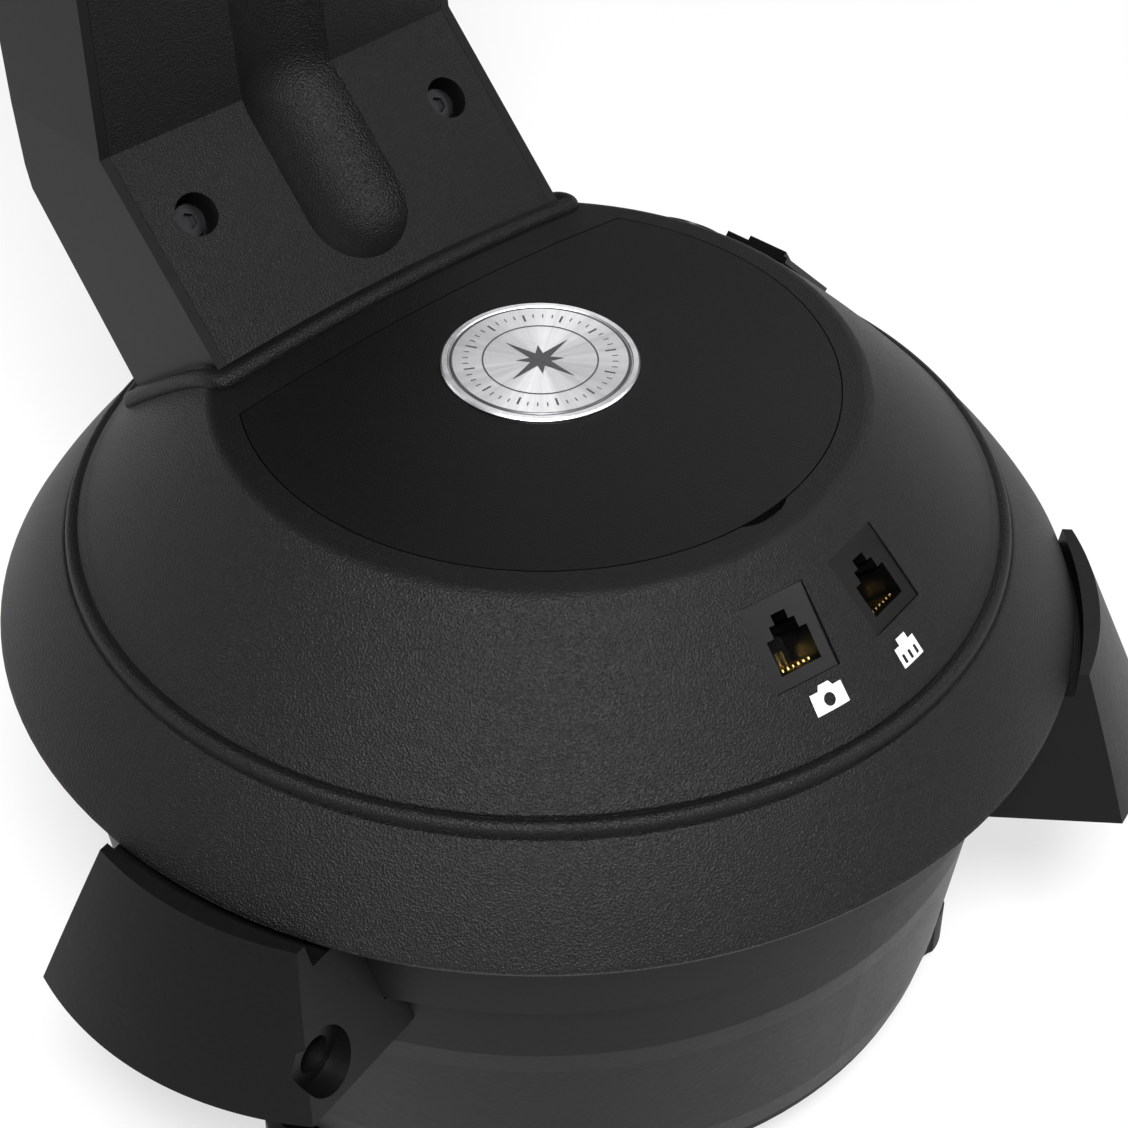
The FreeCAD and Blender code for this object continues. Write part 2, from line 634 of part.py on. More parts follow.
low_line, high_line = face_line(lean0, lean1, 3.0), face_line(lean1, up1, 3.0)
bend = meet(low_line, high_line)
back = (-109.3, 74.1)                    # the mitre between foot and upright ends here
foot_poly = [low_line[0], bend, back, (-107.6, 68.9), (-70.5, 28.9), (-52.0, 20.0)]
mast_poly = [bend, (arm_peak[0] + 3.0, arm_peak[1]), (-145.1, 300.0), back]
foot_block = common(side(foot_poly, 60.0), crown_rod(lean0, lean1, 0.0), arm_front(0.0))
mast_block = common(side(mast_poly, 60.0), crown_rod(lean1, up1, 0.0), arm_front(0.0))
arm_block = fuse(foot_block, mast_block)

c_in = shift_line(lean0, lean1, -5.5)
c_out = shift_line((-107.6, 68.9), (-70.5, 28.9), -2.4)
collar_block = common(side([c_in[0], c_in[1], c_out[0], c_out[1], (-60.0, 10.0), (-25.0, 10.0)], 49.9),
                      turned(raised + [(skirt_r + 0.8, -1.0), (0.0, -1.0)], raised_arcs),
                      crown_rod(lean0, lean1, 2.4))
collar = cut(collar_block, arm_block)

shell_holes = [pocket, throat, nick, switch_cut, dc_cut, arm_window] + jack_cut + post_holes
shell_body = fuse(shell_solid, common(fuse(*posts), envelope(base_z - 2.0)),
                  cut(collar, envelope(base_z - 1.0)))
node("base_shell", cut(shell_body, *shell_holes))

pan = turned([(20.0, 9.0), (pan_r, 9.0), (pan_r, 9.0 + pan_t), (20.0, 9.0 + pan_t)])
pan_screw_spec = [(at(88.5, a) + (21.0,), (0, 0, -1), 1.75, 12.0, 3.4, 2.4) for a in (45, 135, 225, 315)]
frame_bolt_spec = [((-67.0, y, 20.0), (0, 0, -1), 2.5, 11.0, 4.2, 3.0) for y in (-20.0, 20.0)]
node("base_pan", cut(pan, *([rod(1.85, 6, at(88.5, a) + (7.0,)) for a in (45, 135, 225, 315)] + [rod(6.0, 10, (0.0, az_centre, 6.0))]
                            + [q for s in frame_bolt_spec for q in hole_for(*s[:4])])))
node("pan_screws", group(*[bolt(*s) for s in pan_screw_spec]))
node("azimuth_bush", turned([
    (10.05, 4.0), (20.0, 4.0), (20.0, 9.0 + pan_t), (28.0, 9.0 + pan_t), (28.0, 14.5), (18.0, 14.5), (18.0, 24.0), (10.05, 24.0)]))

# --- battery compartment
def d_outline(r, x0):
    y = math.sqrt(r * r - x0 * x0)
    return [(x0, -y), (x0, y)], {1: (r, 0.0)}


o_pts, o_arc = d_outline(60.0, -31.0)
i_pts, i_arc = d_outline(58.95, -29.6)
tray = cut(plan(o_pts, 34.5, 14.6, o_arc), plan(i_pts, 36.2, 20.0, i_arc))
node("battery_tray", tray)
rows = [(-21.6, 2), (-6.4, 2), (8.8, 2), (24.0, 1), (39.2, 1)]
cells, caps = [], []
for x, many in rows:
    for j in range(many):
        y0 = (-51.2 + j * 51.9) if many == 2 else -25.2
        cells.append(fuse(rod(cell_r, cell_l - 1.5, (x, y0, 43.6), (0, 1, 0)), rod(2.7, cell_l, (x, y0, 43.6), (0, 1, 0))))
node("aa_cells", group(*cells))
contact = []
for x, many in rows:
    for yy in ((-51.9, 51.3) if many == 2 else (-26.0, 25.9)):
        contact.append(block((x - 5.0, yy, 37.0), (x + 5.0, yy + 0.5, 49.0)))
node("battery_contacts", group(*contact))

door_slab = common(dome_slab(door_r, 0.0, door_t), d_keep(door_x))
badge_seat = rod(badge_r + 0.1, 10, (0, 0, crown - 0.75))
node("battery_door", cut(door_slab, badge_seat))
node("badge", turned([(0.0, crown - 0.75), (badge_r, crown - 0.75), (badge_r, 57.75), (badge_r - 0.35, 58.1), (badge_r - 1.4, 58.1),
                      (badge_r - 1.6, 57.9), (badge_r - 2.0, 57.9), (badge_r - 2.2, 58.1), (0.0, 58.1)]))

# --- sockets on the flank
def jack(name, az):
    shell = flank_box(az, (-jw, -jl, -jack_d), (jw, jl, Val(-0.3, "(0 - 0.3)")))
    wide = flank_box(az, (-4.9, -6.1, -11.0), (4.9, 1.0, 3.0))
    mid = flank_box(az, (-3.1, 0.9, -11.0), (3.1, 3.4, 3.0))
    top = flank_box(az, (-1.7, 3.3, -11.0), (1.7, 5.4, 3.0))
    node(name, cut(shell, wide, mid, top))
    wires = []
    for i in range(6):
        x = -3.18 + 1.27 * i
        wires.append(flank_box(az, (x - 0.2, -5.6, -11.0), (x + 0.2, -5.1, -2.0)))
        wires.append(flank_box(az, (x - 0.2, -5.1, -10.9), (x + 0.2, -2.6, -10.4)))
    return [fuse(wires[2 * i], wires[2 * i + 1]) for i in range(6)]


contacts = jack("camera_jack", CAM_AZ) + jack("aux_jack", AUX_AZ)
node("jack_contacts", group(*contacts))
node("port_board", common(flank_box(2.0, (-22.0, -14.0, -18.2), (22.0, 7.0, -16.6)), envelope(base_z - 4.5)))
dc_out = fuse(flank_rod(DC_AZ, 5.5, -12.0, 13.0), flank_rod(DC_AZ, 7.0, 0.8, 1.2))
node("power_socket", cut(dc_out, flank_rod(DC_AZ, 3.0, -10.0, 14.0)))
node("power_socket_pin", fuse(flank_rod(DC_AZ, 1.0, -10.0, 9.0), flank_rod(DC_AZ, 3.0, -10.0, 0.8)))
bez = fuse(flank_box(SW_AZ, (-7.0, -10.5, -10.0), (7.0, 10.5, 0.6)), flank_box(SW_AZ, (-8.2, -11.7, 0.35), (8.2, 11.7, 1.6)))
node("switch_housing", cut(bez, flank_box(SW_AZ, (-5.3, -8.9, -8.0), (5.3, 8.9, 6.0))))
ROCK = 12.0
rock_profile_w = 4.95


def rocker():
    """Rocker that pivots on the rim direction; both faces slope away from the middle."""
    body = doc.addObject("PartDesign::Body", tag("Body"))
    sk = new_sketch(body, "YZ_Plane", -rock_profile_w)
    t = math.radians(ROCK / 2)
    draw_loop(sk, [(-7.9, -1.2), (7.9, -1.2), (7.9, 2.7 + 7.9 * math.tan(t)), (0.0, 2.7 - 0.2), (-7.9, 2.7 + 7.9 * math.tan(t))])
    pad = body.newObject("PartDesign::Pad", tag("Pad"))
    pad.Profile, pad.Length = sk, 2 * rock_profile_w
    body.Tip = pad
    fr = flank_frame(SW_AZ)
    tilt = FreeCAD.Placement(V3(0, 0, 0), FreeCAD.Rotation(V3(1, 0, 0), ROCK / 2))
    body.Placement = fr.multiply(FreeCAD.Placement(V3(0, 0, -1.2), FreeCAD.Rotation())).multiply(tilt)
    return body


node("power_switch", rocker())

node("main_board", block((28.0, -34.0, 15.0), (74.0, 34.0, 16.6)))
node("board_standoffs", group(*[rod(2.5, 3.5, (x, y, 11.5)) for x in (32.0, 70.0) for y in (-30.0, 30.0)]))
node("azimuth_gearbox", cut(block((-15.0, az_centre - 15.0, 11.5), (15.0, az_centre + 15.0, 19.0)),
                            rod(3.1, 6.5, (0, az_centre, 11.0))))
node("azimuth_motor", rod(12.0, 14.6, (0, az_centre, 19.0)))
pin_az = raw_solid(gear_shape(z_p, mod, None, 5.4, -math.pi / 2 + math.pi / z_p),
                   FreeCAD.Placement(V3(0, az_centre, Z0 - 0.6), FreeCAD.Rotation()))
node("azimuth_pinion", fuse(pin_az, rod(3.0, 12.3, (0, az_centre, 4.5))))

# =====================================================================
# 3. ARM
# =====================================================================
def offset_inner(d):
    """The arm's inner line moved d into the arm: three points."""
    a = shift_line(lean0, lean1, d)
    b = shift_line(lean1, (-104.5, 300.0), d)
    return [a[0], meet(a, b), b[1]]


inner3 = offset_inner(n(cover_t))
slab_poly = [(-10.0, 40.0), (-60.0, 96.0), (-80.0, 300.0)] + inner3[::-1]
cav_poly = [(0.0, 40.0), (-50.0, 100.0), (-70.0, 310.0), (-144.2, 310.0), (-106.9, 74.5), (-105.6, 70.2), (-66.0, 27.0), (-50.0, 10.0)]
outer_cover = cut(arm_block, common(side(cav_poly, 60.0), arm_front(n(side_wall), low=5.0)), envelope(base_z + 0.05))
cap_hole = rod(31.0, 20, (-150.0, 0, alt_rise), (1, 0, 0))

# hand-control cradle: a rounded trough in the inner cover
u1 = unit(lean0, lean1)
n1 = (-u1[1], u1[0])          # into the arm
u2 = unit(lean1, up1)
n2 = (-u2[1], u2[0])
lift_h = 9.0
foot_pt = (-48.5, 57.4)
rest0, rest1 = (-28.5, 40.0), (-78.9, 88.0)     # the line that the cradle is measured from
T0 = (-46.8 + u1[0] * 15.5 - n1[0] * lift_h, 57.4 + u1[1] * 15.5 - n1[1] * lift_h)
T2_line = shift_line(rest1, up1, -lift_h)
T1 = meet(shift_line(rest0, rest1, -lift_h), T2_line)
T2 = (T2_line[0][0] + u2[0] * 72.0, T2_line[0][1] + u2[1] * 72.0)


def trough(r):
    segs = []
    for p, q in ((T0, T1), (T1, T2)):
        d = (q[0] - p[0], 0, q[1] - p[1])
        segs.append(rod(r, math.hypot(q[0] - p[0], q[1] - p[1]), (p[0], 0.0, p[1]), d))
    for p in (T0, T1, T2):
        segs.append(ball(r, (p[0], 0.0, p[1])))
    return fuse(*segs)


inside_poly = [lean0, lean1, up1, (-104.5, 300.0), (-112.0, 300.0), (-104.0, 84.0), (-60.0, 40.0)]
thick = common(trough(cradle_r + 2.5), side(inside_poly, 40.0))
skin = common(arm_block, side(slab_poly, 60.0), arm_front(n(side_wall) + 0.1, low=5.0))
cover_screws, cover_holes, wells = [], [], []
for s, y, which in ((26.2, -34.4, 0), (26.2, 34.4, 0), (128.0, -33.0, 1), (128.0, 33.0, 1)):
    u, nn, p0 = (u1, n1, foot_pt) if which == 0 else (u2, n2, lean1)
    p = (p0[0] + u[0] * s, p0[1] + u[1] * s)
    deep = 7.0
    start = (p[0] - nn[0] * 2.0, y, p[1] - nn[1] * 2.0)
    cover_holes.append(rod(4.75, 2.0 + deep - 1.45, start, (nn[0], 0, nn[1])))
    cover_holes.append(rod(1.9, 2.0 + deep + 4, start, (nn[0], 0, nn[1])))
    wells.append(common(rod(6.4, 2.0 + deep, start, (nn[0], 0, nn[1])), side(inside_poly, 44.0)))
    tip = (p[0] + nn[0] * (deep + 4.0), y, p[1] + nn[1] * (deep + 4.0))
    cover_screws.append(bolt(tip, (-nn[0], 0, -nn[1]), 1.7, 5.5, 3.6, 2.2))
saddle_hole = rod(26.0, 30, (-112.0, 0, alt_rise), (1, 0, 0))
saddle_sweep = rod(41.5, 20, (-95.2, 0, alt_rise), (1, 0, 0))     # room for the turning saddle plate
node("arm_inner_cover", cut(cut(fuse(skin, thick, *wells), trough(cradle_r)), saddle_hole, saddle_sweep, envelope(base_z + 0.05), *cover_holes))
node("arm_cover_screws", group(*cover_screws))
node("arm_outer_cover", cut(outer_cover, cap_hole))
cap = cut(common(arm_block, rod(30.75, 30, (-150.0, 0, alt_rise), (1, 0, 0))), side(cav_poly, 60.0))
node("altitude_cap", cut(cap, cut(rod(28.0, 30, (-150.0, 0, alt_rise), (1, 0, 0)), rod(27.2, 30, (-150.0, 0, alt_rise), (1, 0, 0)),
                                  side([(-60.0, 150.0), (-120.4, 150.0), (-145.9, 311.0), (-60.0, 311.0)], 60.0))))

# --- structural frame inside the arm
frame_poly = [(-60.0, 11.5), (-60.0, 52.0), (-92.0, 84.0), (-108.0, 290.0), (-122.0, 290.0), (-104.0, 84.0), (-75.0, 54.0), (-75.0, 11.5)]
frame_front = front([(-30.0, 5.0), (30.0, 5.0), (30.0, alt_rise), (-30.0, alt_rise)], -150.0, 110.0, {2: (0.0, n(alt_rise) + 30.0)})
window = block((-140.0, -17.0, 140.0), (-80.0, 17.0, 234.0))
bearing_bore = rod(bearing_r + 0.02, 60, (-150.0, 0, alt_rise), (1, 0, 0))
node("arm_frame", cut(common(side(frame_poly, 40.0), frame_front), window, bearing_bore,
                      *[q for s in frame_bolt_spec for q in hole_for(*s[:4])]))
node("arm_frame_bolts", group(*[bolt(*s) for s in frame_bolt_spec]))


def ring(x0, length, ro, ri):
    return cut(rod(ro, length, (x0, 0, alt_rise), (1, 0, 0)), rod(ri, length + 2, (x0 - 1.0, 0, alt_rise), (1, 0, 0)))


node("altitude_bearings", group(ring(-118.6, 4.0, bearing_r, shaft_r + 0.03), ring(-109.6, 4.0, bearing_r, shaft_r + 0.03)))
al_z = 255.0 - al_centre
node("altitude_gearbox", cut(block((-121.4, -14.0, al_z - 21.0), (-104.0, 14.0, al_z + 12.0)),
                             rod(3.1, 8.0, (-122.0, 0, al_z), (1, 0, 0))))
node("altitude_motor", rod(10.0, 44.0, (-108.5, 0, al_z - 65.0), (0, 0, 1)))
x_rot = FreeCAD.Rotation(V3(0, 0, 1), V3(1, 0, 0))
pin_al = raw_solid(gear_shape(z_p, mod, None, 4.0, 0.0), FreeCAD.Placement(V3(-126.8, 0, Z0 + al_z), x_rot))
node("altitude_pinion", fuse(pin_al, rod(3.0, 11.0, (-126.0, 0, al_z), (1, 0, 0))))

# =====================================================================
# 4. ALTITUDE HEAD
# =====================================================================
saddle_screw_spec = [((-99.8, y, 255.0 + zz), (1, 0, 0), 1.9, 10.6, 3.4, 2.4) for y in (-14.0, 14.0) for zz in (-12.0, 12.0)]
node("altitude_shaft", cut(fuse(rod(shaft_r, 36.0, (-130.0, 0, alt_rise), (1, 0, 0)), rod(25.0, 4.0, (-98.0, 0, alt_rise), (1, 0, 0))),
                           *[q for s in saddle_screw_spec for q in hole_for(*s[:4])]))
al_gear = raw_solid(gear_shape(z_al, mod, 8.05, 4.0, 0.0), FreeCAD.Placement(V3(-126.8, 0, Z0 + 255.0), x_rot))
node("altitude_gear", al_gear)

half = dove_w / 2
plate = common(rod(40.0, 20.0, (-94.0, 0, alt_rise), (1, 0, 0)), block((-94.0, -37.0, 210.0), (-86.0, 37.0, 292.4)))
# lower jaw leans over the groove by 15 degrees
lean = 12.0 * math.tan(math.radians(15))
low_jaw = common(side([(-86.5, 255.0 - 36.0), (-74.0, 255.0 - 36.0), (-74.0, alt_rise - half + lean), (-86.5, alt_rise - half - 0.1)], 26.0), rod(39.0, 20.0, (-87.0, 0, alt_rise), (1, 0, 0)))
lug_block = block((-86.5, -13.0, 255.0 + 30.5), (-75.0, 13.0, 255.0 + 37.5))
saddle = fuse(plate, low_jaw, lug_block)
node("saddle_plate", cut(saddle, rod(3.1, 30.0, (-80.5, 0, 255.0 + 22.0)), *[q for s in saddle_screw_spec for q in hole_for(*s)]))
node("saddle_screws", group(*[bolt(*s) for s in saddle_screw_spec]))
jaw = cut(side([(-85.7, alt_rise + half + 0.6), (-74.0, alt_rise + half + 0.6 - lean), (-74.0, 255.0 + 28.4), (-85.7, 255.0 + 28.4)], 24.0),
          rod(3.08, 12.0, (-80.5, 0, 255.0 + 20.0)))
node("dovetail_jaw", jaw)
kb = fuse(rod(3.0, 17.0, (-80.5, 0, 255.0 + 22.8)), rod(10.5, 12.0, (-80.5, 0, 255.0 + 38.5)), rod(6.0, 1.2, (-80.5, 0, 255.0 + 37.7)))
node("clamp_knob", cut(kb, *[rod(2.0, 14.0, (-80.5 + 11.6 * math.cos(math.radians(t)), 11.6 * math.sin(math.radians(t)), 255.0 + 37.6))
                             for t in range(0, 360, 40)]))

# =====================================================================
doc.recompute()
bad = []
for o in doc.Objects:
    if any(s in ("Invalid", "Error") for s in o.State):
        bad.append("%s (%s) %s" % (o.Name, o.Label, o.State))
for name in ORDER:
    sh = NODES[name].Shape
    if sh.isNull() or not sh.isValid() or len(sh.Solids) == 0:
        bad.append("%s: null %s valid %s solids %d" % (name, sh.isNull(), None if sh.isNull() else sh.isValid(), 0 if sh.isNull() else len(sh.Solids)))
if bad:
    raise SystemExit("model not clean:\n" + "\n".join(bad))
for name in ORDER:
    sh = NODES[name].Shape
    b = sh.BoundBox
    print("%-22s solids %2d  vol %9.1f  x %.1f %.1f  y %.1f %.1f  z %.1f %.1f" % (
        name, len(sh.Solids), sh.Volume, b.XMin, b.XMax, b.YMin, b.YMax, b.ZMin, b.ZMax))
    sh.exportStep("parts/%s.step" % name)
print("nodes", len(ORDER), "azimuth centre", az_centre, "altitude centre", al_centre)
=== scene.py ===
import bpy, bmesh, math
from mathutils import Vector, Matrix


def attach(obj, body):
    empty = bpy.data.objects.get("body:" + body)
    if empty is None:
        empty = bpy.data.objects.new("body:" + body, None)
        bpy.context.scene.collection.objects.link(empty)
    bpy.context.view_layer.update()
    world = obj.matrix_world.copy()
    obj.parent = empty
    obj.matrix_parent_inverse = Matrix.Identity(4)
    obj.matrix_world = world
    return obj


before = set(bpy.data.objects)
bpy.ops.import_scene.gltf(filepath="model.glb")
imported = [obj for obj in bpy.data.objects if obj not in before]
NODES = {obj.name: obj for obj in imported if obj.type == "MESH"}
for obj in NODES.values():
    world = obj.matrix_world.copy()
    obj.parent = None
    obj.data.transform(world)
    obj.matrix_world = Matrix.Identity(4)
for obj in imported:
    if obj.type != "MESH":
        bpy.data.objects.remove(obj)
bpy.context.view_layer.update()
Z0 = 0.108                      # skirt's lower edge above the foot


def mm(*v):
    return Vector([q / 1000.0 for q in v])


# ------------------------------------------------------------------ materials
def new_mat(name):
    m = bpy.data.materials.new(name)
    m.use_nodes = True
    nt = m.node_tree
    nt.nodes.clear()
    out = nt.nodes.new("ShaderNodeOutputMaterial")
    bs = nt.nodes.new("ShaderNodeBsdfPrincipled")
    nt.links.new(bs.outputs[0], out.inputs[0])
    return m, nt, bs


class G:
    """Small helper for building a node graph."""

    def __init__(self, nt):
        self.nt = nt
        self.co = nt.nodes.new("ShaderNodeTexCoord").outputs["Object"]

    def node(self, kind, **kw):
        x = self.nt.nodes.new(kind)
        for k, v in kw.items():
            setattr(x, k, v)
        return x

    def link(self, a, b):
        self.nt.links.new(a, b)

    def scaled(self, s):
        m = self.node("ShaderNodeMapping")
        m.inputs["Scale"].default_value = s if hasattr(s, "__len__") else (s, s, s)
        self.link(self.co, m.inputs["Vector"])
        return m.outputs[0]

    def noise(self, scale, detail=3.0, rough=0.55, vec=None, distortion=0.0):
        x = self.node("ShaderNodeTexNoise")
        x.inputs["Scale"].default_value = scale
        x.inputs["Detail"].default_value = detail
        x.inputs["Roughness"].default_value = rough
        x.inputs["Distortion"].default_value = distortion
        self.link(vec or self.co, x.inputs["Vector"])
        return x.outputs[0]

    def voronoi(self, scale, feature="F1", smooth=None, rand=1.0):
        x = self.node("ShaderNodeTexVoronoi")
        x.feature = feature
        x.inputs["Scale"].default_value = scale
        x.inputs["Randomness"].default_value = rand
        if smooth is not None and "Smoothness" in x.inputs:
            x.inputs["Smoothness"].default_value = smooth
        self.link(self.co, x.inputs["Vector"])
        return x.outputs["Distance"]

    def ramp(self, fac, stops):
        x = self.node("ShaderNodeValToRGB")
        e = x.color_ramp.elements
        while len(e) < len(stops):
            e.new(0.5)
        for i, (p, c) in enumerate(stops):
            e[i].position = p
            e[i].color = (c if hasattr(c, "__len__") else (c, c, c)) + (1,) if hasattr(c, "__len__") else (c, c, c, 1)
        self.link(fac, x.inputs[0])
        return x.outputs[0]

    def math(self, op, a, b=None, c=None, clamp=False):
        x = self.node("ShaderNodeMath", operation=op)
        x.use_clamp = clamp
        for i, v in enumerate((a, b, c)):
            if v is None:
                continue
            if isinstance(v, (int, float)):
                x.inputs[i].default_value = v
            else:
                self.link(v, x.inputs[i])
        return x.outputs[0]

    def maprange(self, v, a, b, c=0.0, d=1.0):
        x = self.node("ShaderNodeMapRange")
        x.clamp = True
        for i, q in zip((1, 2, 3, 4), (a, b, c, d)):
            x.inputs[i].default_value = q
        self.link(v, x.inputs[0])
        return x.outputs[0]

    def mix(self, fac, a, b):
        x = self.node("ShaderNodeMix", data_type="RGBA")
        if isinstance(fac, float):
            x.inputs[0].default_value = fac
        else:
            self.link(fac, x.inputs[0])
        for i, v in ((6, a), (7, b)):
            if hasattr(v, "__len__"):
                x.inputs[i].default_value = tuple(v) + (1,)
            else:
                self.link(v, x.inputs[i])
        return x.outputs[2]

    def mixf(self, fac, a, b):
        x = self.node("ShaderNodeMix", data_type="FLOAT")
        self.link(fac, x.inputs[0])
        for i, v in ((2, a), (3, b)):
            if isinstance(v, (int, float)):
                x.inputs[i].default_value = v
            else:
                self.link(v, x.inputs[i])
        return x.outputs[0]

    def bump(self, height, dist, strength=1.0, normal=None):
        x = self.node("ShaderNodeBump")
        x.inputs["Strength"].default_value = strength
        x.inputs["Distance"].default_value = dist
        self.link(height, x.inputs["Height"])
        if normal:
            self.link(normal, x.inputs["Normal"])
        return x.outputs[0]

    def xyz(self):
        x = self.node("ShaderNodeSeparateXYZ")
        self.link(self.co, x.inputs[0])
        return x.outputs


def spark_height(g, s=1.0):
    """Spark-eroded mould grain: rounded pits about 0.6 mm apart over a fine roughness."""
    a = g.noise(2900 * s, 2.0, 0.65)
    b = g.voronoi(2300 * s, "SMOOTH_F1", 0.5)
    c = g.noise(7000 * s, 1.0, 0.5)
    return g.math("ADD", g.math("MULTIPLY", a, 0.55), g.math("ADD", g.math("MULTIPLY", b, 0.6), g.math("MULTIPLY", c, 0.12)))


def leather_height(g, s=1.0):
    """Fine leather-like grain: low pebbles with narrow creases."""
    a = g.voronoi(1500 * s, "DISTANCE_TO_EDGE")
    e = g.ramp(a, [(0.0, 0.0), (0.12, 0.75), (0.45, 1.0)])
    b = g.noise(3600 * s, 2.0, 0.5)
    return g.math("ADD", g.math("MULTIPLY", e, 0.55), g.math("MULTIPLY", b, 0.45))


def plastic(name, col=0.014, rough=0.45, grain="spark", depth=0.00009, strength=0.8, spec=0.21, tint=(1, 1, 1.04), scale=1.0):
    col = col * 0.4 if col < 0.02 else col
    m, nt, bs = new_mat(name)
    g = G(nt)
    h = spark_height(g, scale) if grain == "spark" else leather_height(g, scale) if grain == "leather" else g.noise(420 * scale, 4.0, 0.6)
    big = g.noise(14, 3.0, 0.5)
    c0 = [col * t for t in tint]
    c1 = [col * t * 1.5 for t in tint]
    dark = g.mix(g.maprange(big, 0.3, 0.7), c0, c1)
    # Grain peaks lightened in the base colour: painted glints standing in for the grain's sparkle.
    grain_with_painted_glints = g.mix(g.maprange(h, 0.50, 0.80, 0.0, 0.7), dark, [col * 2.2 * t for t in tint])
    g.link(grain_with_painted_glints, bs.inputs["Base Color"])
    g.link(g.maprange(g.math("ADD", g.math("MULTIPLY", big, 0.5), g.math("MULTIPLY", h, 0.5)), 0.2, 0.85, rough - 0.05, rough + 0.06), bs.inputs["Roughness"])
    bs.inputs["Specular IOR Level"].default_value = spec
    g.link(g.bump(h, depth, strength), bs.inputs["Normal"])
    return m


def shell_material():
    """Base shell: spark grain on the flank and skirt, leather grain on the plateau."""
    m, nt, bs = new_mat("shell_grain")
    g = G(nt)
    x, y, z = g.xyz()
    r = g.math("SQRT", g.math("ADD", g.math("MULTIPLY", x, x), g.math("MULTIPLY", y, y)))
    top = g.math("MULTIPLY", g.maprange(z, Z0 + 0.0522, Z0 + 0.0530), g.maprange(r, 0.0690, 0.0678))
    hs, hl = spark_height(g), leather_height(g)
    big = g.noise(14, 3.0, 0.5)
    c0, c1 = (0.0020, 0.0020, 0.0021), (0.0032, 0.0032, 0.0034)
    dark = g.mix(g.maprange(big, 0.3, 0.7), c0, c1)
    # Spark-grain peaks lightened in the base colour: painted glints standing in for the grain's sparkle.
    grain_with_painted_glints = g.mix(g.maprange(hs, 0.50, 0.80, 0.0, 0.8), dark, (0.0085, 0.0085, 0.0090))
    calm = g.mix(g.maprange(hl, 0.3, 0.9, 0.0, 0.5), (0.0012, 0.0012, 0.0013), (0.0030, 0.0030, 0.0031))
    g.link(g.mix(top, grain_with_painted_glints, calm), bs.inputs["Base Color"])
    rs = g.maprange(big, 0.2, 0.8, 0.42, 0.50)
    g.link(g.mixf(top, rs, 0.47), bs.inputs["Roughness"])
    bs.inputs["Specular IOR Level"].default_value = 0.26
    h = g.mixf(top, hs, g.math("MULTIPLY", hl, 0.30))
    g.link(g.bump(h, 0.00030, 1.0), bs.inputs["Normal"])
    return m


def metal(name, col, rough=0.3, mode="cast", depth=0.00004, strength=0.5, metallic=1.0, coat=0.0, axis=2):
    m, nt, bs = new_mat(name)
    g = G(nt)
    big = g.noise(25, 4.0, 0.6)
    if mode == "brushed":
        s = [60.0, 60.0, 60.0]
        s[axis] = 3000.0
        h = g.noise(1.0, 3.0, 0.6, vec=g.scaled(tuple(s)))
    elif mode == "turned":
        x, y, z = g.xyz()
        comp = [x, y, z]
        other = [c for i, c in enumerate(comp) if i != axis]
        r = g.math("SQRT", g.math("ADD", g.math("MULTIPLY", other[0], other[0]), g.math("MULTIPLY", other[1], other[1])))
        comb = g.node("ShaderNodeCombineXYZ")
        g.link(g.math("MULTIPLY", r, 4200.0), comb.inputs[0])
        g.link(g.math("MULTIPLY", comp[axis], 900.0), comb.inputs[1])
        h = g.noise(1.0, 2.0, 0.5, vec=comb.outputs[0])
    else:
        h = g.math("ADD", g.math("MULTIPLY", g.noise(900, 3.0, 0.6), 0.6), g.math("MULTIPLY", g.voronoi(700, "SMOOTH_F1", 0.5), 0.4))
    if metallic == 0.0 and max(col) < 0.05:
        col = [c * 0.35 for c in col]
    a = [c * 0.82 for c in col]
    b = [min(1.0, c * 1.12) for c in col]
    tone = g.math("ADD", g.math("MULTIPLY", big, 0.6), g.math("MULTIPLY", h, 0.4))
    g.link(g.mix(g.maprange(tone, 0.3, 0.75), a, b), bs.inputs["Base Color"])
    g.link(g.maprange(tone, 0.25, 0.8, max(0.05, rough - 0.07), rough + 0.1), bs.inputs["Roughness"])
    bs.inputs["Metallic"].default_value = metallic
    if metallic == 0.0:
        bs.inputs["Specular IOR Level"].default_value = 0.20
    if coat:
        bs.inputs["Coat Weight"].default_value = coat
        bs.inputs["Coat Roughness"].default_value = 0.15
    g.link(g.bump(h, depth, strength), bs.inputs["Normal"])
    return m


